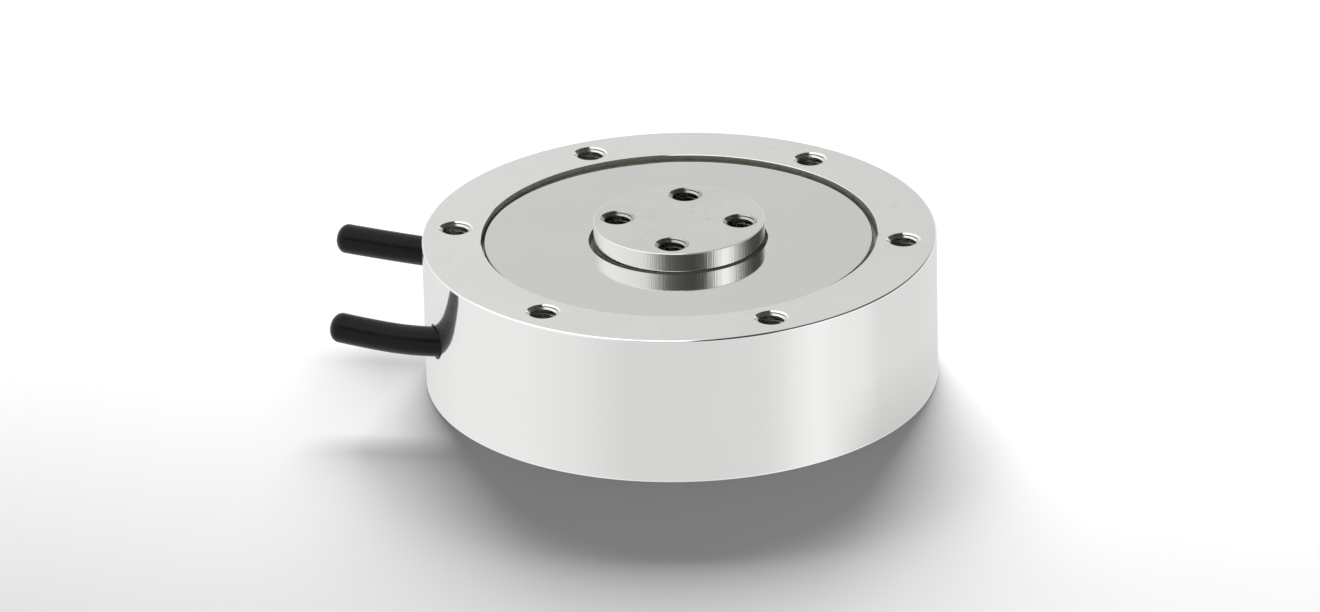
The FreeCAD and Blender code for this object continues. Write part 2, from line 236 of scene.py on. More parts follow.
def block(name: str, low: Point, high: Point) -> Object:
    """Adds a box.

    Args:
        name: The object's name.
        low: Its lowest corner.
        high: Its highest corner.

    Returns:
        The box.
    """
    deselect_all()
    middle = [(a + b) / 2 for a, b in zip(low, high)]
    bpy.ops.mesh.primitive_cube_add(size=1.0, location=middle, scale=[b - a for a, b in zip(low, high)])
    return settle(bpy.context.object, name)


def joined(name: str, objects: Sequence[Object]) -> Object:
    """Joins objects into one mesh, without merging their solids.

    Args:
        name: The new object's name.
        objects: The objects to join.

    Returns:
        The one object.
    """
    deselect_all()
    for obj in objects:
        obj.select_set(True)
    bpy.context.view_layer.objects.active = objects[0]
    if len(objects) > 1:
        bpy.ops.object.join()
    return settle(bpy.context.object, name)


def copies_of(obj: Object, count: int) -> list[Object]:
    """Copies an object.

    Args:
        obj: The object.
        count: How many there are to be with the first.

    Returns:
        The object and its copies, each with its own mesh.
    """
    copies = [obj]
    while len(copies) < count:
        copy = obj.copy()
        copy.data = obj.data.copy()
        bpy.context.collection.objects.link(copy)
        copies.append(copy)
    return copies


def turned_copies(obj: Object, count: int) -> list[Object]:
    """Copies an object evenly about the Z axis.

    Args:
        obj: The object.
        count: How many there are to be with the first.

    Returns:
        The object and its copies, each with its own mesh.
    """
    copies = copies_of(obj, count)
    for index, copy in enumerate(copies):
        copy.data.transform(Matrix.Rotation(math.tau * index / count, 4, "Z"))
    return copies


def combine(target: Object, tool: Object, operation: str) -> None:
    """Applies a boolean of one solid on another and removes the tool.

    Args:
        target: The solid that changes.
        tool: The solid that is added, taken away or kept within.
        operation: UNION, DIFFERENCE or INTERSECT.
    """
    modifier = target.modifiers.new("combine", "BOOLEAN")
    modifier.operation = operation
    modifier.solver = "EXACT"
    modifier.object = tool
    apply_modifiers(target)
    bpy.data.objects.remove(tool, do_unlink=True)


def smooth(obj: Object, angle: float = 30.0) -> None:
    """Shades a mesh smooth, with edges sharper than the angle kept crisp."""
    make_active(obj)
    bpy.ops.object.shade_smooth_by_angle(angle=math.radians(angle))


def around(radius: float, degrees: float, z: float = 0.0) -> Vector:
    """A point at this radius and direction about the Z axis."""
    a = math.radians(degrees)
    return Vector((radius * math.cos(a), radius * math.sin(a), z))


def aloft(distance: float, degrees: float, elevation: float) -> Vector:
    """A point at this distance from the origin, direction about the Z axis and elevation."""
    up = math.radians(elevation)
    return around(distance * math.cos(up), degrees, distance * math.sin(up))


def rounding(centre: Pair, radius: float, first: float, steps: int = 6) -> list[Pair]:
    """Draws the quarter round of an edge.

    Args:
        centre: The (radius, height) of the round's centre.
        radius: The round's own radius.
        first: The direction of its first point, from which it turns 90 degrees.
        steps: How many steps it takes.

    Returns:
        Its points as (radius, height), in order.
    """
    turns = [math.radians(first + 90.0 * k / steps) for k in range(steps + 1)]
    return [(centre[0] + radius * math.cos(a), centre[1] + radius * math.sin(a)) for a in turns]


# Node graphs

# The share of blue in a grey, which makes dark tones a little olive and is full from a middle level up
DARKEST_BLUE = 0.84
BLUE_RISE = 0.15
FULL_BLUE_FROM = 0.5


def olive_grey(level: float) -> Rgba:
    """A grey that is a little olive where it is dark."""
    return (level, level, level * (DARKEST_BLUE + BLUE_RISE * min(level / FULL_BLUE_FROM, 1.0)), 1.0)


def shaded(colour: Colour, share: float) -> Rgba:
    """A colour made darker or lighter by a share, up to white."""
    return (*[min(c * share, 1.0) for c in colour], 1.0)


class Graph:
    """A node tree with short calls to add and join nodes."""

    def __init__(self, tree: Tree) -> None:
        """Keeps the tree and clears it."""
        self.tree = tree
        self.tree.nodes.clear()

    def link(self, source: Socket, target: Socket) -> None:
        """Joins an output socket to an input socket."""
        self.tree.links.new(source, target)

    def add(self, kind: str, inputs: Optional[Inputs] = None, **settings: object) -> Node:
        """Adds a node.

        Args:
            kind: The node's type, whole where it starts with Node, else without its ShaderNode prefix.
            inputs: Socket names or numbers, each with a value or an output socket to join to it.
            settings: Properties of the node itself.

        Returns:
            The new node.
        """
        node = self.tree.nodes.new("ShaderNode" + kind if not kind.startswith("Node") else kind)
        for key, value in settings.items():
            setattr(node, key, value)
        for key, value in (inputs or {}).items():
            if isinstance(value, Socket):
                self.link(value, node.inputs[key])
            else:
                node.inputs[key].default_value = value
        return node

    def group(self, tree: Tree, *values: float) -> Sequence[Socket]:
        """Adds a node group with these input values and returns its outputs."""
        return self.add("Group", dict(enumerate(values)), node_tree=tree).outputs

    def math(self, operation: str, *values: object) -> Socket:
        """Adds a Math node on values or sockets and returns its output."""
        return self.add("Math", dict(enumerate(values)), operation=operation).outputs[0]

    def remap(self, value: Socket, span: Pair, to: Pair = (0.0, 1.0)) -> Socket:
        """Maps one span of values evenly onto another and holds its ends."""
        return self.add("MapRange", dict(enumerate((value, *span, *to)))).outputs[0]

    def mix(self, factor: Socket, first: object, second: object) -> Socket:
        """Blends two colours, each a socket or a colour with alpha."""
        inputs = {"Factor": factor, "A": first, "B": second}
        return self.add("Mix", inputs, data_type="RGBA").outputs["Result"]

    def parts(self, vector: Socket) -> Sequence[Socket]:
        """Splits a vector into its X, Y and Z."""
        return self.add("SeparateXYZ", {0: vector}).outputs

    def noise(self, place: Socket, scale: object, detail: float, roughness: float) -> Socket:
        """Adds soft noise at a place and returns its value."""
        inputs = {"Vector": place, "Scale": scale, "Detail": detail, "Roughness": roughness}
        return self.add("TexNoise", inputs).outputs[0]

    def ramp(self, value: Socket, stops: Sequence[Pair]) -> Socket:
        """Maps a value through olive grey stops.

        Args:
            value: The socket to map.
            stops: Pairs of position and grey level, in order.

        Returns:
            The mapped grey as a colour socket.
        """
        node = self.add("ValToRGB", {0: value})
        elements = node.color_ramp.elements
        while len(elements) < len(stops):
            elements.new(0.5)
        for element, (position, level) in zip(elements, stops):
            element.position = position
            element.color = olive_grey(level)
        return node.outputs[0]


class MarkGroups:
    """Surface effects that several finishes share, each a node group built once.

    The painted shade at the foot of the ring's right side grows between two places across and two heights,
    and a painted light falls off across the ring's width from left to right.
    """

    half_width: float = 48.0 * MM
    shade_across: Pair = (31.5 * MM, 37.0 * MM)
    shade_height: Pair = (0.0, 14.0 * MM)
    fleck_fineness: float = 9.0
    fleck_span: Pair = (0.62, 0.74)

    def __init__(self) -> None:
        """Builds the groups."""
        self.lathe = self._lathe()
        self.grain = self._grain()
        self.handling_and_painted_shade = self._handling_and_painted_shade()

    @staticmethod
    def _start(name: str, inputs: Iterable[str], outputs: Iterable[str]) -> tuple[Graph, Node, Node]:
        """Starts a group with float sockets.

        Args:
            name: The group's name.
            inputs: The names of its inputs.
            outputs: The names of its outputs.

        Returns:
            Its graph, its input node and its output node.
        """
        tree = bpy.data.node_groups.new(name, "ShaderNodeTree")
        for socket in inputs:
            tree.interface.new_socket(name=socket, in_out="INPUT", socket_type="NodeSocketFloat")
        for socket in outputs:
            tree.interface.new_socket(name=socket, in_out="OUTPUT", socket_type="NodeSocketFloat")
        graph = Graph(tree)
        return graph, graph.add("NodeGroupInput"), graph.add("NodeGroupOutput")

    @staticmethod
    def _place(graph: Graph) -> tuple[Sequence[Socket], Socket]:
        """The parts of the object's coordinates, and the same place with no height."""
        parts = graph.parts(graph.add("TexCoord").outputs["Object"])
        return parts, graph.add("CombineXYZ", {0: parts[0], 1: parts[1]}).outputs[0]

    def _lathe(self) -> Tree:
        """Builds the fine rings left by a turning tool.

        Returns:
            The group: noise that varies only with radius and height.
        """
        graph, given, result = self._start("lathe_marks", ["Lines per metre"], ["Height"])
        parts, flat = self._place(graph)
        radius = graph.add("VectorMath", {0: flat}, operation="LENGTH").outputs["Value"]
        across = graph.math("MULTIPLY", radius, given.outputs[0])
        along = graph.math("MULTIPLY", parts[2], given.outputs[0])
        vector = graph.add("CombineXYZ", {0: across, 2: along}).outputs[0]
        graph.link(graph.noise(vector, scale=1.0, detail=2.0, roughness=0.6), result.inputs[0])
        return graph.tree

    def _grain(self) -> Tree:
        """Builds the upright streaks round a turned side.

        Returns:
            The group: noise that varies with direction and hardly with height.
        """
        graph, given, result = self._start("upright_grain", ["Streaks", "Height change"], ["Height"])
        parts, flat = self._place(graph)
        facing = graph.add("VectorMath", {0: flat}, operation="NORMALIZE").outputs[0]
        wide = graph.add("VectorMath", {0: facing, "Scale": given.outputs[0]}, operation="SCALE").outputs[0]
        level = graph.math("MULTIPLY", parts[2], given.outputs[1])
        rise = graph.add("CombineXYZ", {2: level}).outputs[0]
        vector = graph.add("VectorMath", {0: wide, 1: rise}, operation="ADD").outputs[0]
        graph.link(graph.noise(vector, scale=1.0, detail=3.0, roughness=0.7), result.inputs[0])
        return graph.tree

    def _handling_and_painted_shade(self) -> Tree:
        """Builds soft clouds and small flecks, as wiping and fingers leave, and slow changes of tone that
        are painted light and painted shade.

        Returns:
            The group. Leftness, a painted light, falls from left to right, and Foot, a painted shade, grows
            towards the foot of the right side.
        """
        outputs = ["Cloud", "Fleck", "Leftness", "Foot"]
        graph, given, result = self._start("handling_marks_and_painted_shade", ["Scale"], outputs)
        scale = given.outputs[0]
        place = graph.add("TexCoord").outputs["Object"]
        parts = graph.parts(place)
        leftness = graph.remap(parts[0], (-self.half_width, self.half_width), (1.0, -1.0))
        on_right = graph.remap(parts[0], self.shade_across)
        low = graph.remap(parts[2], self.shade_height, (1.0, 0.0))
        foot = graph.math("MULTIPLY", on_right, low)
        cloud = graph.noise(place, scale, detail=5.0, roughness=0.55)
        fine = graph.math("MULTIPLY", scale, self.fleck_fineness)
        fleck = graph.remap(graph.noise(place, fine, detail=2.0, roughness=0.5), self.fleck_span)
        for value, socket in zip((cloud, fleck, leftness, foot), result.inputs):
            graph.link(value, socket)
        return graph.tree


MARKS = MarkGroups()

# The middle values of the clouds, over which a finish goes through its whole change
CLOUD_SPAN = (0.3, 0.7)


def start_material(name: str) -> tuple[bpy.types.Material, Graph]:
    """Makes a node material.

    Args:
        name: Its name.

    Returns:
        The material and its empty graph.
    """
    material = bpy.data.materials.new(name)
    material.use_nodes = True
    return material, Graph(material.node_tree)


@dataclass(frozen=True)
class Finish:
    """What every finish has: a colour and a roughness that both change a little with soft clouds."""

    name: str
    colour: Colour
    roughness: float
    tone_change: float = 0.03
    gloss_change: float = 0.04

    def _clouded(self, graph: Graph, cloud: Socket) -> tuple[Socket, Socket]:
        """Spreads the clouds over the whole change of the finish.

        Args:
            graph: The material's graph.
            cloud: The clouds' value.

        Returns:
            The sockets of the colour and of the roughness.
        """
        share = graph.remap(cloud, CLOUD_SPAN)
        dark = shaded(self.colour, 1.0 - self.tone_change)
        light = shaded(self.colour, 1.0 + self.tone_change)
        gloss = (self.roughness - self.gloss_change, self.roughness + self.gloss_change)
        return graph.mix(share, dark, light), graph.remap(share, (0.0, 1.0), gloss)


@dataclass(frozen=True)
class MetalFinish(Finish):
    """A bare metal surface: its tone, gloss, tool marks, wiping marks, and a painted light and painted
    shade where they are set.
    """

    cloud_scale: float = 60.0
    lathe_lines: float = 6000.0
    lathe_depth: float = 0.0
    streaks: float = 60.0
    streak_depth: float = 0.0
    streak_rise: float = 12.0
    fleck: float = 0.0
    fleck_tone: float = 0.55
    # A painted light that makes the colour lighter to the left and darker to the right
    painted_light_slope: float = 0.0
    # A painted shade that darkens the foot of the ring's right side
    painted_foot_shade: float = 0.0
    haze: float = 0.0
    haze_roughness: float = 0.5
    haze_ior: float = 1.9

    def material(self) -> bpy.types.Material:
        """Builds the material.

        Returns:
            A Principled metal whose tone, roughness and normal vary with its marks.
        """
        material, graph = start_material(self.name)
        cloud, flecks, leftness, foot = graph.group(MARKS.handling_and_painted_shade, self.cloud_scale)
        tone, roughness = self._clouded(graph, cloud)
        stain = graph.math("MULTIPLY", flecks, self.fleck)
        stained = graph.mix(stain, tone, shaded(self.colour, self.fleck_tone))
        # Painted light: the colour grows lighter to the left by the slope
        lightness = graph.math("MULTIPLY_ADD", leftness, self.painted_light_slope, 1.0)
        # Painted shade: the colour darkens at the foot of the right side
        lightness = graph.math("MULTIPLY_ADD", foot, -self.painted_foot_shade, lightness)
        lathe = graph.group(MARKS.lathe, self.lathe_lines)[0]
        height = graph.math("MULTIPLY", lathe, self.lathe_depth)
        if self.streak_depth:
            grain = graph.group(MARKS.grain, self.streaks, self.streak_rise)[0]
            height = graph.math("ADD", height, graph.math("MULTIPLY", grain, self.streak_depth))
        shader = graph.add("BsdfPrincipled", {
            "Base Color": graph.add("HueSaturation", {"Value": lightness, "Color": stained}).outputs[0],
            "Metallic": 1.0,
            "Roughness": roughness,
            "Normal": graph.add("Bump", {"Height": height, "Strength": 1.0, "Distance": 1.0}).outputs[0],
            "Coat Weight": self.haze,
            "Coat Roughness": self.haze_roughness,
            "Coat IOR": self.haze_ior,
        })
        graph.add("OutputMaterial", {0: shader.outputs[0]})
        return material


@dataclass(frozen=True)
class SoftFinish(Finish):
    """A surface that isn't bare metal: plastic, rubber, laminate or enamel."""

    tone_change: float = 0.12
    gloss_change: float = 0.08
    scale: float = 400.0
    depth: float = 10.0 * MICRON
    coat: float = 0.0
    specular: float = 0.5

    def material(self) -> bpy.types.Material:
        """Builds the material.

        Returns:
            A Principled material whose tone, roughness and normal vary over the surface.
        """
        material, graph = start_material(self.name)
        cloud = graph.group(MARKS.handling_and_painted_shade, self.scale)[0]
        tone, roughness = self._clouded(graph, cloud)
        bump = graph.add("Bump", {"Height": cloud, "Strength": 1.0, "Distance": self.depth})
        shader = graph.add("BsdfPrincipled", {
            "Base Color": tone,
            "Roughness": roughness,
            "Normal": bump.outputs[0],
            "Coat Weight": self.coat,
            "Specular IOR Level": self.specular,
        })
        graph.add("OutputMaterial", {0: shader.outputs[0]})
        return material


REGION_FINISHES = {
    # The polished side carries a painted shade at the foot of its right side
    Region.SIDE: MetalFinish(
        "polished_side", (0.905, 0.905, 0.90), roughness=0.05, tone_change=0.012, gloss_change=0.02,
        cloud_scale=30.0, lathe_lines=3000.0, lathe_depth=0.4 * MICRON, streak_depth=2.0 * MICRON,
        painted_foot_shade=0.22, haze=1.0,
    ),
    # The turned ring face carries a painted light, lighter to the left
    Region.RING_FACE: MetalFinish(
        "turned_ring_face", (0.88, 0.88, 0.866), roughness=0.27, tone_change=0.02, cloud_scale=45.0,
        lathe_lines=5000.0, lathe_depth=2.0 * MICRON, fleck=0.10, painted_light_slope=0.04,
    ),
    Region.BOSS_SIDE: MetalFinish(
        "polished_boss_side", (0.95, 0.95, 0.945), roughness=0.05, tone_change=0.012, gloss_change=0.02,
        lathe_lines=3000.0, lathe_depth=0.3 * MICRON, streak_depth=34.0 * MICRON,
    ),
    Region.BOSS_FACE: MetalFinish(
        "turned_boss_face", (0.79, 0.79, 0.775), roughness=0.20, cloud_scale=90.0, lathe_lines=5000.0,
        lathe_depth=2.0 * MICRON, fleck=0.16,
    ),
    Region.EDGE: MetalFinish(
        "bright_edge", (0.95, 0.95, 0.945), roughness=0.08, tone_change=0.01, gloss_change=0.02
    ),
    Region.THREAD: MetalFinish(
        "cut_thread", (0.78, 0.78, 0.72), roughness=0.22, tone_change=0.12, gloss_change=0.06,
        cloud_scale=500.0,
    ),
    # The boss's holes and their mouths have the thread's metal painted darker, a painted shade in the holes
    Region.BOSS_HOLE: MetalFinish(
        "boss_thread_painted_shade", (0.50, 0.50, 0.46), roughness=0.24, tone_change=0.15, gloss_change=0.08,
        cloud_scale=900.0,
    ),
    # The walls in the gaps beside the cover are rough, and their dark olive colour is a painted shade
    # between the parts
    Region.DULL: MetalFinish(
        "dull_gap_wall_painted_shade", (0.42, 0.42, 0.36), roughness=0.75, tone_change=0.2, gloss_change=0.1,
        cloud_scale=900.0,
    ),
    Region.INSIDE: MetalFinish(
        "milled_inside", (0.74, 0.74, 0.72), roughness=0.35, gloss_change=0.05, cloud_scale=80.0,
        lathe_lines=2500.0, lathe_depth=3.0 * MICRON,
    ),
}
# The cover carries a painted light, lighter to the left
COVER_FINISH = MetalFinish(
    "ground_cover", (0.78, 0.78, 0.772), roughness=0.05, tone_change=0.015, gloss_change=0.015,
    cloud_scale=50.0, lathe_lines=2500.0, fleck=0.06, painted_light_slope=0.025,
)
JACKET_FINISH = SoftFinish(
    "black_jacket", (0.0048, 0.0049, 0.0040), roughness=0.30, tone_change=0.25, scale=900.0,
    depth=20.0 * MICRON, specular=0.22,
)
NODE_FINISHES = {
    "cover_aluminium": MetalFinish(
        "brushed_bottom_cover", (0.78, 0.78, 0.77), roughness=0.28, gloss_change=0.05, cloud_scale=50.0,
        lathe_lines=4000.0, lathe_depth=3.0 * MICRON,
    ),
    "sealant": SoftFinish(
        "dark_sealant", (0.22, 0.22, 0.19), roughness=0.5, tone_change=0.3, gloss_change=0.1, scale=900.0,
        depth=50.0 * MICRON,
    ),
    "seal_rubber": SoftFinish(
        "seal_rubber", (0.14, 0.14, 0.12), roughness=0.5, tone_change=0.3, gloss_change=0.1, scale=900.0,
        depth=30.0 * MICRON,
    ),
    "screw_steel": MetalFinish(
        "screw_steel", (0.62, 0.62, 0.61), roughness=0.25, tone_change=0.05, gloss_change=0.06,
        cloud_scale=300.0, lathe_lines=9000.0, lathe_depth=2.0 * MICRON,
    ),
    "gauge_foil": SoftFinish(
        "amber_foil", (0.52, 0.24, 0.04), roughness=0.28, tone_change=0.15, gloss_change=0.06, scale=1500.0,
        depth=5.0 * MICRON, coat=0.4,
    ),
    "board_laminate": SoftFinish(
        "green_laminate", (0.02, 0.13, 0.05), roughness=0.35, scale=800.0, coat=0.3
    ),
    "resistor_ceramic": SoftFinish(
        "dark_ceramic", (0.03, 0.03, 0.035), roughness=0.5, tone_change=0.2, scale=1500.0
    ),
    "loom_wire": SoftFinish(
        "enamelled_wire", (0.42, 0.13, 0.03), roughness=0.3, tone_change=0.15, scale=1200.0, coat=0.5
    ),
    "ferrule_brass": MetalFinish(
        "crimped_brass", (0.72, 0.52, 0.22), roughness=0.3, tone_change=0.06, gloss_change=0.08,
        cloud_scale=400.0, lathe_depth=3.0 * MICRON,
    ),
    "core_insulation": SoftFinish(
        "core_insulation", (0.55, 0.52, 0.44), roughness=0.45, tone_change=0.1, scale=900.0
    ),
}


# Sub-assemblies


@dataclass
class ThreadedHole:
    """An M6 tapped hole with its thread cut to the drill's depth and a chamfered mouth."""

    major_radius: float = 3.0 * MM
    minor_radius: float = 2.5 * MM
    mouth_radius: float = 3.2 * MM
    pitch: float = 1.0 * MM
    depth: float = 12.0 * MM
    overrun: float = 0.6 * MM
    margin: float = 0.1 * MM
    start: float = 81.0
    steps: int = 40
    mouth_sides: int = 64
    weld: float = 0.1 * MICRON

    def cutters(self, places: Sequence[Vector]) -> list[Object]:
        """Builds the solids that cut the holes.

        Args:
            places: The middles of the holes' mouths.

        Returns:
            A closed solid for each place, with a helical ridge and a conical head.
        """
        first = self._thread()
        combine(first, self._mouth(), "UNION")
        tools = copies_of(first, len(places))
        for tool, at in zip(tools, places):
            tool.data.transform(Matrix.Translation(at))
        return tools

    def _thread(self) -> Object:
        """Builds the threaded part of the cutter, with the hole's mouth at the origin.

        Returns:
            A closed solid. Its ridge has a metric thread's flats, a quarter and an eighth of the pitch.
        """
        crest, flank = self.pitch / 4, self.pitch * 5 / 16
        levels = [0.0, crest, crest + flank, crest + flank + self.pitch / 8, self.pitch]
        low, high = self.minor_radius, self.major_radius
        turns = math.ceil((self.depth + self.overrun) / self.pitch) + 2
        obj = drawn_line("thread_cutter", list(zip((low, low, high, high, low), levels)), closed=False)
        obj.data.transform(Matrix.Translation((0, 0, -self.depth - self.pitch)))
        screw = obj.modifiers.new("thread", "SCREW")
        screw.screw_offset = self.pitch
        screw.iterations = turns
        screw.steps = self.steps
        screw.render_steps = self.steps
        screw.use_smooth_shade = False
        apply_modifiers(obj)
        edit(
            obj,
            lambda: bpy.ops.mesh.remove_doubles(threshold=self.weld),
            lambda: self._cut_level(self.overrun, clear_outer=True),
            lambda: self._cut_level(-self.depth, clear_inner=True),
            lambda: bpy.ops.mesh.normals_make_consistent(inside=False),
        )
        obj.data.transform(Matrix.Rotation(math.radians(self.start), 4, "Z"))
        return obj

    @staticmethod
    def _cut_level(height: float, **cleared: bool) -> None:
        """Cuts the mesh in edit mode level at a height, closes the cut and selects all of it again."""
        bpy.ops.mesh.bisect(plane_co=(0, 0, height), plane_no=(0, 0, 1), use_fill=True, **cleared)
        bpy.ops.mesh.select_all(action="SELECT")

    def _mouth(self) -> Object:
        """Builds the cone that chamfers the mouth at 45 degrees.

        Returns:
            The cone, from just inside the thread's roots to just above the cutter's thread.
        """
        deselect_all()
        depth = self.mouth_radius - self.major_radius + self.margin
        above = self.overrun + self.margin
        bpy.ops.mesh.primitive_cone_add(
            vertices=self.mouth_sides,
            radius1=self.mouth_radius - depth,
            radius2=self.mouth_radius + above,
            depth=above + depth,
            location=(0, 0, (above - depth) / 2),
        )
        return settle(bpy.context.object, "mouth_cutter")


# The upright part of a face's normal, by which its kind is told
LEVEL_FROM = 0.9999
FLAT_FROM = 0.999
WALL_TO = 0.02
MOUTH_SLOPE = (0.66, 0.75)
EDGE_SLOPE = (0.6, 0.8)

# How upright and how sharp, in degrees, an edge of a pocket is that gets a round corner
UPRIGHT_FROM = 0.99
SHARP_FROM = 45.0


@dataclass
class SpringElement:
    """The one-piece body: ring, hub with its boss, four spokes and the board lugs."""

    ring_radius: float = 48.0 * MM
    ring_height: float = 28.5 * MM
    recess_radius: float = 37.0 * MM
    cavity_radius: float = 32.0 * MM
    hub_radius: float = 20.0 * MM
    boss_radius: float = 16.0 * MM
    boss_top: float = 31.5 * MM
    shoulder_z: float = 25.2 * MM
    sealed_to: float = 27.75 * MM
    hub_foot: float = 2.8 * MM
    top_seat: float = 25.9 * MM
    bottom_seat: float = 2.3 * MM
    ring_edge: float = 0.4 * MM
    recess_edge: float = 0.1 * MM
    boss_edge: float = 0.15 * MM
    ring_steps: int = 256
    hub_steps: int = 192
    spoke_count: int = 4
    spoke_half: float = 4.0 * MM
    spoke_low: float = 9.75 * MM
    spoke_high: float = 18.75 * MM
    spoke_corner: float = 2.5 * MM
    corner_segments: int = 6
    spoke_bite: float = 0.2 * MM
    spoke_steps: int = 128
    seat_reach: Pair = (22.5 * MM, 29.5 * MM)
    seat_depth: float = 0.4 * MM
    lug_radius: float = 29.0 * MM
    lug_half: float = 2.5 * MM
    lug_sides: int = 48
    lug_low: float = 16.25 * MM
    lug_high: float = 20.25 * MM
    lug_angles: tuple[float, ...] = (111.0, 159.0, 201.0, 249.0)
    small_thread: float = 1.02 * MM
    small_sides: int = 24
    cover_screw_radius: float = 34.2 * MM
    cover_screw_count: int = 6
    cover_screw_angle: float = 30.0
    cover_screw_top: float = 7.5 * MM
    cable_hole: float = 3.3 * MM
    cable_hole_sides: int = 64
    cable_hole_past_lugs: float = 12.0 * MM
    cable_offset: float = 19.9 * MM
    ring_bolts: float = 42.0 * MM
    ring_bolt_count: int = 6
    boss_bolts: float = 11.5 * MM
    boss_bolt_count: int = 4
    slack: float = 0.1 * MM
    hole: ThreadedHole = field(default_factory=ThreadedHole)

    def build(self) -> Object:
        """Models the body, cuts its holes and dresses it.

        Returns:
            The finished body.
        """
        body = self._ring()
        combine(body, self._spokes(), "UNION")
        combine(body, self._hub(), "UNION")
        combine(body, self._lugs(), "UNION")
        combine(body, self._plain_holes(), "DIFFERENCE")
        places = self._evenly(self.ring_bolts, self.ring_bolt_count, z=self.ring_height)
        places += self._evenly(self.boss_bolts, self.boss_bolt_count, z=self.boss_top)
        combine(body, joined("threads", self.hole.cutters(places)), "DIFFERENCE")
        settle(body, "machined_spring_element")
        smooth(body)
        self._dress(body)
        self._round_normals(body)
        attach(body, "root")
        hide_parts("sensor_body")
        return body

    @staticmethod
    def _evenly(radius: float, count: int, first: float = 0.0, z: float = 0.0) -> list[Vector]:
        """Points evenly spaced round the Z axis, from a first direction."""
        return [around(radius, first + 360.0 / count * k, z) for k in range(count)]

    def _ring(self) -> Object:
        """Spins the ring with a recess above and below.

        Returns:
            The ring.
        """
        edge, lip = self.ring_edge, self.recess_edge
        outline = [
            (self.cavity_radius, self.bottom_seat),
            (self.recess_radius, self.bottom_seat),
            (self.recess_radius, lip),
            (self.recess_radius + lip, 0.0),
            *rounding((self.ring_radius - edge, edge), edge, -90.0),
            *rounding((self.ring_radius - edge, self.ring_height - edge), edge, 0.0),
            (self.recess_radius + lip, self.ring_height),
            (self.recess_radius, self.ring_height - lip),
            (self.recess_radius, self.top_seat),
            (self.cavity_radius, self.top_seat),
        ]
        return spun("ring", outline, steps=self.ring_steps)

    def _hub(self) -> Object:
        """Spins the hub with its shoulder and boss.

        Returns:
            The hub, from axis to axis.
        """
        edge = self.boss_edge
        outline = [
            (0.0, self.hub_foot),
            (self.hub_radius, self.hub_foot),
            (self.hub_radius, self.shoulder_z),
            (self.boss_radius, self.shoulder_z),
            (self.boss_radius, self.sealed_to),
            *rounding((self.boss_radius - edge, self.boss_top - edge), edge, 0.0),
            (0.0, self.boss_top),
        ]
        return spun("hub", outline, steps=self.hub_steps, closed=False)

    def _spokes(self) -> Object:
        """Cuts round-cornered pockets out of a disc, which leaves the four spokes.

        Returns:
            The spokes, whose roots reach a little into the hub and the ring.
        """
        low, high = self.spoke_low, self.spoke_high
        disc = self._washer("spoke_disc", self.spoke_bite, low, high)
        pocket = self._washer("pocket", 0.0, low - MM, high + MM)
        half, reach = self.spoke_half, self.cavity_radius + MM
        combine(pocket, block("quadrant", (half, half, low - MM), (reach, reach, high + MM)), "INTERSECT")
        self._round_corners(pocket)
        near, far = self.seat_reach
        side = (half - self.seat_depth, half + self.seat_depth)
        seats = [
            block("seat_x", (near, side[0], low - MM), (far, side[1], high + MM)),
            block("seat_y", (side[0], near, low - MM), (side[1], far, high + MM)),
        ]
        combine(pocket, joined("seats", seats), "UNION")
        combine(disc, joined("pockets", turned_copies(pocket, self.spoke_count)), "DIFFERENCE")
        return disc

    def _washer(self, name: str, bite: float, low: float, high: float) -> Object:
        """Spins a flat washer that fills the space between hub and ring.

        Args:
            name: The object's name.
            bite: How far it reaches into the hub and the ring.
            low: The height of its underside.
            high: The height of its top.

        Returns:
            The washer.
        """
        inner, outer = self.hub_radius - bite, self.cavity_radius + bite
        outline = [(inner, low), (outer, low), (outer, high), (inner, high)]
        return spun(name, outline, steps=self.spoke_steps)

    def _round_corners(self, pocket: Object) -> None:
        """Bevels the four upright corner edges of a pocket.

        Args:
            pocket: The solid that cuts the pocket.
        """
        make_active(pocket)
        bpy.ops.object.mode_set(mode="EDIT")
        mesh = bmesh.from_edit_mesh(pocket.data)
        for edge in mesh.edges:
            along = (edge.verts[0].co - edge.verts[1].co).normalized()
            sharp = len(edge.link_faces) == 2 and edge.calc_face_angle() > math.radians(SHARP_FROM)
            edge.select_set(abs(along.z) > UPRIGHT_FROM and sharp)
        bmesh.update_edit_mesh(pocket.data)
        bpy.ops.mesh.bevel(offset=self.spoke_corner, segments=self.corner_segments, affect="EDGES")
        bpy.ops.object.mode_set(mode="OBJECT")

    def _lugs(self) -> Object:
        """Makes the four round-nosed lugs that carry the boards.

        Returns:
            The lugs as one object.
        """
        lugs = []
        half, at = self.lug_half, around(self.lug_radius, 0.0)
        low = (self.lug_radius, -half, self.lug_low)
        high = (self.cavity_radius + MM, half, self.lug_high)
        for degrees in self.lug_angles:
            nose = upright_cylinder("lug_nose", half, self.lug_low, self.lug_high, at, self.lug_sides)
            combine(nose, block("lug_root", low, high), "UNION")
            nose.data.transform(Matrix.Rotation(math.radians(degrees), 4, "Z"))
            lugs.append(nose)
        return joined("lugs", lugs)

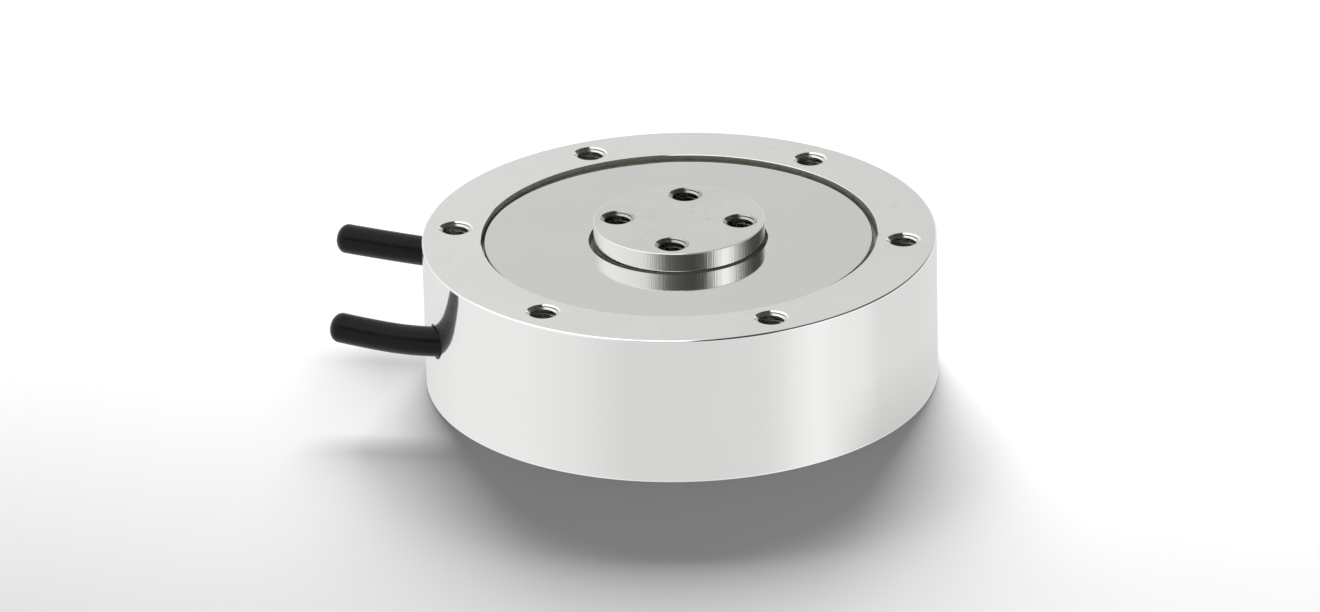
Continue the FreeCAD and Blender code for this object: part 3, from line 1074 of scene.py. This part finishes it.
    def _plain_holes(self) -> Object:
        """Makes the cutters of the cable bores and of the small screws' holes.

        Returns:
            The cutters as one object.
        """
        tools = []
        length = self.ring_radius - self.lug_radius + self.cable_hole_past_lugs
        middle = -self.ring_radius + length / 2 - MM
        for side in Side:
            deselect_all()
            bpy.ops.mesh.primitive_cylinder_add(
                vertices=self.cable_hole_sides,
                radius=self.cable_hole,
                depth=length,
                location=(middle, side.value * self.cable_offset, self.ring_height / 2),
                rotation=(0, math.pi / 2, 0),
            )
            tools.append(settle(bpy.context.object, "cable_bore"))
        small, sides = self.small_thread, self.small_sides
        low, high = self.lug_low - MM, self.lug_high + MM
        for at in [around(self.lug_radius, degrees) for degrees in self.lug_angles]:
            tools.append(upright_cylinder("lug_hole", small, low, high, at, sides))
        low, high = self.bottom_seat - MM, self.cover_screw_top
        for at in self._evenly(self.cover_screw_radius, self.cover_screw_count, self.cover_screw_angle):
            tools.append(upright_cylinder("cover_hole", small, low, high, at, sides))
        return joined("plain_holes", tools)

    def _region(self, centre: Vector, normal: Vector) -> Region:
        """Says which finish a face has.

        Args:
            centre: The face's middle.
            normal: The face's normal.

        Returns:
            Its region.
        """
        radius = math.hypot(centre.x, centre.y)
        upright = abs(normal.z)
        flat, wall = upright > FLAT_FROM, upright < WALL_TO
        slack = self.slack
        if radius > self.ring_radius - self.ring_edge:
            return Region.SIDE if wall else Region.EDGE
        past_boss_face = radius - self.boss_radius + self.boss_edge
        if centre.z > self.shoulder_z and 0.0 < past_boss_face < self.boss_edge + slack:
            if centre.z < self.sealed_to:
                return Region.DULL
            return Region.BOSS_SIDE if wall else Region.EDGE
        if flat and centre.z > self.boss_top - slack:
            return Region.BOSS_FACE
        at_ring_face = centre.z > self.ring_height - slack or centre.z < slack
        if flat and radius > self.recess_radius and at_ring_face:
            return Region.RING_FACE
        if self._in_hole(centre):
            if radius < self.recess_radius:
                return Region.BOSS_HOLE
            return Region.EDGE if MOUTH_SLOPE[0] < upright < MOUTH_SLOPE[1] else Region.THREAD
        if EDGE_SLOPE[0] < upright < EDGE_SLOPE[1]:
            return Region.EDGE
        if abs(radius - self.recess_radius) < slack and centre.z > self.top_seat:
            return Region.DULL
        return Region.INSIDE

    def _in_hole(self, centre: Vector) -> bool:
        """Says whether a point is within a threaded hole.

        Args:
            centre: The point.

        Returns:
            Whether it is, on the ring or on the boss.
        """
        radius = math.hypot(centre.x, centre.y)
        reach = self.hole.mouth_radius + self.slack
        depth = self.hole.depth + MM
        on_ring = abs(radius - self.ring_bolts) < reach and centre.z > self.ring_height - depth
        on_boss = radius < self.boss_bolts + reach and centre.z > self.boss_top - depth
        return (on_ring and radius < self.ring_radius - MM) or (on_boss and radius < self.boss_radius - MM)

    def _dress(self, body: Object) -> None:
        """Gives each face the finish of its region.

        Args:
            body: The finished mesh object.
        """
        for region in Region:
            body.data.materials.append(REGION_FINISHES[region].material())
        for face in body.data.polygons:
            face.material_index = self._region(face.center, face.normal).value

    def _outward(self, place: Vector) -> Vector:
        """The exact outward direction at a point of an outer wall or of its rounded edge.

        Args:
            place: The point, on the ring's outside or on the boss.

        Returns:
            The unit direction that a true cylinder and a true round have there.
        """
        radius = math.hypot(place.x, place.y)
        if radius > self.recess_radius:
            size, edge, low, high = self.ring_radius, self.ring_edge, self.ring_edge, self.ring_height
        else:
            size, edge, low, high = self.boss_radius, self.boss_edge, self.shoulder_z, self.boss_top
        out = max(radius - size + edge, 0.0)
        rise = place.z - min(max(place.z, low), high - edge)
        return Vector((place.x / radius * out, place.y / radius * out, rise)).normalized()

    def _round_normals(self, body: Object) -> None:
        """Sets exact normals on flat faces, outer walls and rounded edges, so that they reflect truly.

        Args:
            body: The dressed mesh object.
        """
        mesh = body.data
        normals = [Vector(corner.vector) for corner in mesh.corner_normals]
        rounded = (Region.SIDE.value, Region.BOSS_SIDE.value)
        for face in mesh.polygons:
            level = abs(face.normal.z) > LEVEL_FROM
            at_edge = face.material_index == Region.EDGE.value
            on_wall = face.material_index in rounded or (at_edge and self._by_wall(face.center))
            for index in face.loop_indices:
                if level:
                    normals[index] = Vector((0.0, 0.0, math.copysign(1.0, face.normal.z)))
                elif on_wall:
                    normals[index] = self._outward(mesh.vertices[mesh.loops[index].vertex_index].co)
        mesh.normals_split_custom_set(normals)

    def _by_wall(self, centre: Vector) -> bool:
        """Says whether a point is on an outer edge.

        Args:
            centre: The point.

        Returns:
            Whether it is, on the ring's outer edges or on the boss's upper edge.
        """
        radius = math.hypot(centre.x, centre.y)
        past_boss_face = radius - self.boss_radius + self.boss_edge
        on_boss = centre.z > self.shoulder_z and 0.0 < past_boss_face < self.boss_edge
        return on_boss or radius > self.ring_radius - self.ring_edge


@dataclass
class TopCover:
    """The ground disc in the top recess, a little off centre."""

    outer_radius: float = 36.24 * MM
    inner_radius: float = 16.7 * MM
    under: float = 26.2 * MM
    top: float = 27.7 * MM
    edge: float = 0.15 * MM
    inner_edge: float = 0.06 * MM
    offset: float = -0.2 * MM
    steps: int = 224

    def build(self) -> Object:
        """Models and dresses the cover.

        Returns:
            The finished cover.
        """
        outline = [
            (self.inner_radius, self.under),
            (self.outer_radius, self.under),
            (self.outer_radius, self.top - self.edge),
            (self.outer_radius - self.edge, self.top),
            (self.inner_radius + self.inner_edge, self.top),
            (self.inner_radius, self.top - self.inner_edge),
        ]
        cover = spun("ground_top_cover", outline, steps=self.steps)
        cover.data.transform(Matrix.Translation((self.offset, 0, 0)))
        smooth(cover)
        cover.data.materials.append(COVER_FINISH.material())
        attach(cover, "root")
        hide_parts("top_cover")
        return cover


@dataclass
class CableStub:
    """A black cable that leaves the ring through its bore and ends blunt. Its route is in millimetres."""

    name: str
    node: str
    route: tuple[Point, ...]
    pieces: tuple[str, ...]
    length: float
    diameter: float = 5.6 * MM
    line_steps: int = 16
    line_order: int = 3
    round_steps: int = 12
    tip_round: float = 1.9 * MM
    tip_clear: float = 0.2 * MM
    tip_turn: float = 72.0
    tip_steps: int = 8
    smooth_to: float = 40.0

    @staticmethod
    def _curve(name: str, kind: str, points: Sequence[tuple[Iterable[float], float]]) -> Object:
        """Adds a curve.

        Args:
            name: Its name.
            kind: The kind of its spline, POLY or NURBS.
            points: Its points, each a place in metres and a share of the full thickness.

        Returns:
            The curve object.
        """
        curve = bpy.data.curves.new(name, "CURVE")
        curve.dimensions = "3D"
        spline = curve.splines.new(kind)
        spline.points.add(len(points) - 1)
        for point, (place, share) in zip(spline.points, points):
            point.co = (*place, 1.0)
            point.radius = share
        obj = bpy.data.objects.new(name, curve)
        bpy.context.collection.objects.link(obj)
        return obj

    def _centreline(self) -> list[Point]:
        """Lays a smooth spline along the route and reads the points that it passes through.

        Returns:
            The points in metres, from the inner end to the free end.
        """
        route = [([c * MM for c in place], 1.0) for place in self.route]
        line = self._curve(self.name + "_line", "NURBS", route)
        line.data.resolution_u = self.line_steps
        line.data.splines[0].order_u = self.line_order
        line.data.splines[0].use_endpoint_u = True
        mesh = bpy.data.meshes.new_from_object(line.evaluated_get(bpy.context.evaluated_depsgraph_get()))
        points = [tuple(v.co) for v in mesh.vertices]
        bpy.data.meshes.remove(mesh)
        bpy.data.objects.remove(line, do_unlink=True)
        return points

    def _sections(self, path: Sequence[Point]) -> list[tuple[Vector, float]]:
        """Sets the tube's thickness along its line, with a softly rounded free end.

        Args:
            path: The points of the cable's line.

        Returns:
            Pairs of a point and the share of the full radius there.
        """
        tip = Vector(path[-1])
        reach = self.tip_round + self.tip_clear
        sections = [(Vector(p), 1.0) for p in path if (Vector(p) - tip).length > reach]
        along = (tip - sections[-1][0]).normalized()
        whole = math.sin(math.radians(self.tip_turn))
        for step in range(self.tip_steps + 1):
            turn = math.radians(self.tip_turn * step / self.tip_steps)
            back = self.tip_round * (1.0 - math.sin(turn) / whole)
            sections.append((tip - along * back, math.cos(turn)))
        return sections

    def _tube(self, path: Sequence[Point]) -> Object:
        """Makes a closed mesh tube that follows the line.

        Args:
            path: The points of the cable's line.

        Returns:
            The tube as a mesh object.
        """
        tube = self._curve(self.name, "POLY", self._sections(path))
        tube.data.bevel_depth = self.diameter / 2
        tube.data.bevel_resolution = self.round_steps
        tube.data.use_fill_caps = True
        make_active(tube)
        bpy.ops.object.convert(target="MESH")
        return bpy.context.object

    def build(self) -> Object:
        """Returns:
            The finished cable.
        """
        path = self._centreline()
        jacket = self._tube(path)
        settle(jacket, self.name)
        tidy_mesh(jacket)
        smooth(jacket, self.smooth_to)
        jacket.data.materials.append(JACKET_FINISH.material())
        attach(jacket, "root")
        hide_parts(self.node)
        return jacket


@dataclass
class PackedNodes:
    """The CAD pieces that keep their own shape and only get a finish, by their slots in the record."""

    finishes: dict[str, MetalFinish | SoftFinish]

    def dress(self) -> None:
        """Gives every shown CAD node the finish of its slot."""
        made = {slot: finish.material() for slot, finish in self.finishes.items()}
        slots = {part["node"]: part["material_slot"] for part in frame["record"]["subparts"]}
        for name, node in frame["nodes"].items():
            material = made.get(slots[name])
            if material is None or node.hide_render:
                continue
            for place in node.material_slots:
                place.material = material
            LOG.info("dressed %s as %s", name, material.name)


# Studio


@dataclass
class Studio:
    """The floor, the light, what the metal mirrors, and the camera.

    The metal mirrors a light tent of four layers: table, skirt, walls and overhead. Each takes over from
    the one below it between two heights, which are the upright part of the mirrored direction.
    """

    camera_distance: float = 1.70993
    camera_elevation: float = 24.79873
    camera_azimuth: float = -83.1319
    camera_roll: float = -1.31904
    lens: float = 248.50835
    shift: Pair = (-0.01697, 0.05051)
    sensor_width: float = 36.0
    clip_start: float = 0.05
    floor_size: float = 8.0
    floor_gap: float = 0.02 * MM
    # The floor's colour carries a painted shade, greyer to the left and to the front, lighter away
    floor_reach: Pair = (-0.12, 0.105)
    floor_painted_shade_levels: Pair = (0.665, 0.83)
    floor_depth: Pair = (-0.095, 0.015)
    painted_floor_lift: float = 0.13
    key_power: float = 99.0
    key_elevation: float = 26.5
    key_azimuth: float = 97.0
    key_distance: float = 2.0
    key_size: Pair = (1.20, 1.15)
    ambient: float = 0.275
    brightest: float = 1.3
    skirt: float = 0.88
    skirt_height: Pair = (-0.04, 0.04)
    walls_height: Pair = (0.27, 0.35)
    overhead_height: Pair = (0.62, 0.70)
    overhead_across: Pair = (0.03, 0.09)
    overhead_tones: Pair = (0.95, 0.05)

    # The tent's walls with their gaps, and the table, as pairs of bearing and brightness
    walls: tuple[Pair, ...] = (
        (0.000, 0.72), (0.030, 0.72), (0.084, 0.80), (0.138, 0.95), (0.170, 1.02), (0.240, 1.02),
        (0.290, 0.96), (0.355, 0.935), (0.375, 0.86), (0.395, 0.66), (0.414, 0.49), (0.433, 0.24),
        (0.452, 0.14), (0.490, 0.095), (0.545, 0.06), (0.585, 0.10), (0.610, 0.12), (0.625, 0.55),
        (0.642, 1.02), (0.662, 1.19), (0.688, 1.19), (0.711, 0.96), (0.734, 0.47), (0.758, 0.38),
        (0.780, 0.13), (0.820, 0.08), (0.870, 0.06), (0.915, 0.15), (0.970, 0.72), (1.000, 0.72),
    )
    table: tuple[Pair, ...] = (
        (0.000, 0.79), (0.060, 0.82), (0.125, 0.89), (0.170, 0.94), (0.290, 0.945), (0.340, 0.90),
        (0.382, 0.86), (0.403, 0.82), (0.430, 0.78), (0.465, 0.77), (0.520, 0.77), (0.585, 0.785),
        (0.605, 0.81), (0.627, 0.86), (0.640, 0.93), (0.655, 0.97), (0.671, 1.01), (0.684, 1.01),
        (0.695, 0.965), (0.720, 0.945), (0.747, 0.925), (0.776, 0.815), (0.850, 0.795), (0.900, 0.80),
        (1.000, 0.79),
    )

    def set_up(self) -> None:
        """Builds the whole studio."""
        bpy.context.scene.view_settings.view_transform = "Standard"
        self._floor()
        self._world()
        self._key_light()
        self._camera()

    def _facing_camera(self, graph: Graph, vector: Socket) -> Socket:
        """Turns a vector so that X is to the photographer's right and Y away from the photographer.

        Args:
            graph: The graph to add to.
            vector: The vector in the object's frame.

        Returns:
            The turned vector.
        """
        turn = math.radians(-90.0 - self.camera_azimuth)
        node = graph.add("VectorRotate", {"Vector": vector, "Angle": turn}, rotation_type="Z_AXIS")
        return node.outputs[0]

    @staticmethod
    def _bearing(graph: Graph, vector: Socket) -> Socket:
        """Measures the direction about the vertical.

        Args:
            graph: The graph to add to.
            vector: The turned vector.

        Returns:
            The bearing as 0 to 1, with 0.5 towards the photographer and 0.75 to the right.
        """
        parts = graph.parts(vector)
        ahead = graph.math("MULTIPLY", parts[1], -1.0)
        angle = graph.math("ARCTAN2", parts[0], ahead)
        return graph.math("ADD", graph.math("DIVIDE", angle, math.tau), 0.5)

    def _floor(self) -> None:
        """Lays a pale floor whose colour carries a painted shade, greyer to the front and left, which the
        metal doesn't mirror.
        """
        deselect_all()
        bpy.ops.mesh.primitive_plane_add(size=self.floor_size, location=(0, 0, -self.floor_gap))
        floor = settle(bpy.context.object, "studio_floor")
        material, graph = start_material("studio_floor")
        place = graph.add("TexCoord").outputs["Object"]
        turned = graph.parts(self._facing_camera(graph, place))
        # Painted shade: the floor's colour falls towards the left and towards the front
        across = graph.remap(turned[0], self.floor_reach, self.floor_painted_shade_levels)
        away = graph.remap(turned[1], self.floor_depth, (0.0, self.painted_floor_lift))
        tone = graph.math("ADD", across, away)
        colour = graph.add("CombineColor", {0: tone, 1: tone, 2: tone}).outputs[0]
        plain = graph.add("BsdfDiffuse", {"Color": colour})
        graph.add("OutputMaterial", {0: plain.outputs[0]})
        floor.data.materials.append(material)
        floor.visible_glossy = False

    def _world(self) -> None:
        """Sets a soft sky, with the panels and gaps of a light tent seen only in reflections."""
        world = bpy.data.worlds.new("studio")
        bpy.context.scene.world = world
        world.use_nodes = True
        graph = Graph(world.node_tree)
        direction = self._facing_camera(graph, graph.add("TexCoord").outputs["Generated"])
        bearing = self._bearing(graph, direction)
        walls = graph.ramp(bearing, [(place, level / self.brightest) for place, level in self.walls])
        tent = graph.ramp(bearing, [(place, level / self.brightest) for place, level in self.table])
        parts = graph.parts(direction)
        overhead = graph.remap(parts[0], self.overhead_across, self.overhead_tones)
        layers = (
            (olive_grey(self.skirt / self.brightest), self.skirt_height),
            (walls, self.walls_height),
            (overhead, self.overhead_height),
        )
        for layer, height in layers:
            tent = graph.mix(graph.remap(parts[2], height), tent, layer)
        rays = graph.add("LightPath")
        undimmed = graph.math("LESS_THAN", rays.outputs["Diffuse Depth"], 0.5)
        mirrored = graph.math("MAXIMUM", rays.outputs["Is Glossy Ray"], rays.outputs["Is Transmission Ray"])
        seen = graph.math("MULTIPLY", mirrored, undimmed)
        reflected = graph.add("Background", {"Color": tent, "Strength": self.brightest})
        sky = graph.add("Background", {"Color": (1.0, 1.0, 1.0, 1.0), "Strength": self.ambient})
        white = graph.add("Background", {"Color": (1.0, 1.0, 1.0, 1.0), "Strength": 1.0})
        lit = graph.add("MixShader", {0: seen, 1: sky.outputs[0], 2: reflected.outputs[0]})
        by_camera = rays.outputs["Is Camera Ray"]
        shown = graph.add("MixShader", {0: by_camera, 1: lit.outputs[0], 2: white.outputs[0]})
        graph.add("OutputWorld", {0: shown.outputs[0]})

    def _key_light(self) -> None:
        """Hangs a large soft light behind and above the sensor."""
        deselect_all()
        at = aloft(self.key_distance, self.key_azimuth, self.key_elevation)
        bpy.ops.object.light_add(type="AREA", location=at)
        key = bpy.context.object
        key.name = "key_light"
        key.data.shape = "RECTANGLE"
        key.data.size, key.data.size_y = self.key_size
        key.data.energy = self.key_power
        key.rotation_euler = (-at).to_track_quat("-Z", "Y").to_euler()
        key.visible_glossy = False

    def _camera(self) -> None:
        """Places the camera at the photograph's viewpoint."""
        deselect_all()
        at = aloft(self.camera_distance, self.camera_azimuth, self.camera_elevation)
        back = at.normalized()
        right = Vector((0, 0, 1)).cross(back).normalized()
        above = back.cross(right)
        roll = math.radians(self.camera_roll)
        tilted_right = math.cos(roll) * right + math.sin(roll) * above
        tilted_above = -math.sin(roll) * right + math.cos(roll) * above
        bpy.ops.object.camera_add(location=at)
        camera = bpy.context.object
        camera.name = "photographer"
        turn = Matrix((tilted_right, tilted_above, back)).transposed()
        camera.rotation_euler = turn.to_euler()
        camera.data.sensor_width = self.sensor_width
        camera.data.lens = self.lens
        camera.data.shift_x, camera.data.shift_y = self.shift
        camera.data.clip_start = self.clip_start
        bpy.context.scene.camera = camera


CABLES = (
    CableStub(
        name="front_cable_jacket",
        node="force_cable",
        route=(
            (-18.774, -19.9, 14.25),
            (-39.6, -19.9, 14.25),
            (-47.881, -19.9, 14.25),
            (-55.981, -18.3, 14.65),
            (-63.46, -17.3, 15.75),
        ),
        pieces=("force_cable_ferrule", "force_cable_cores"),
        length=44.8 * MM,
    ),
    CableStub(
        name="rear_cable_jacket",
        node="torque_cable",
        route=((-18.774, 19.9, 14.25), (-40.0, 19.9, 14.25), (-47.981, 19.9, 13.95), (-68.04, 22.8, 15.85)),
        pieces=("torque_cable_ferrule", "torque_cable_cores"),
        length=49.4 * MM,
    ),
)


def main() -> None:
    """Builds the sensor's pieces in order, then the studio."""
    logging.basicConfig(level=logging.INFO, format="%(message)s")
    for maker in (SpringElement(), TopCover(), *CABLES):
        piece = maker.build()
        LOG.info("%s has %d faces", piece.name, len(piece.data.polygons))
    PackedNodes(NODE_FINISHES).dress()
    Studio().set_up()


if __name__ == "__main__":
    main()
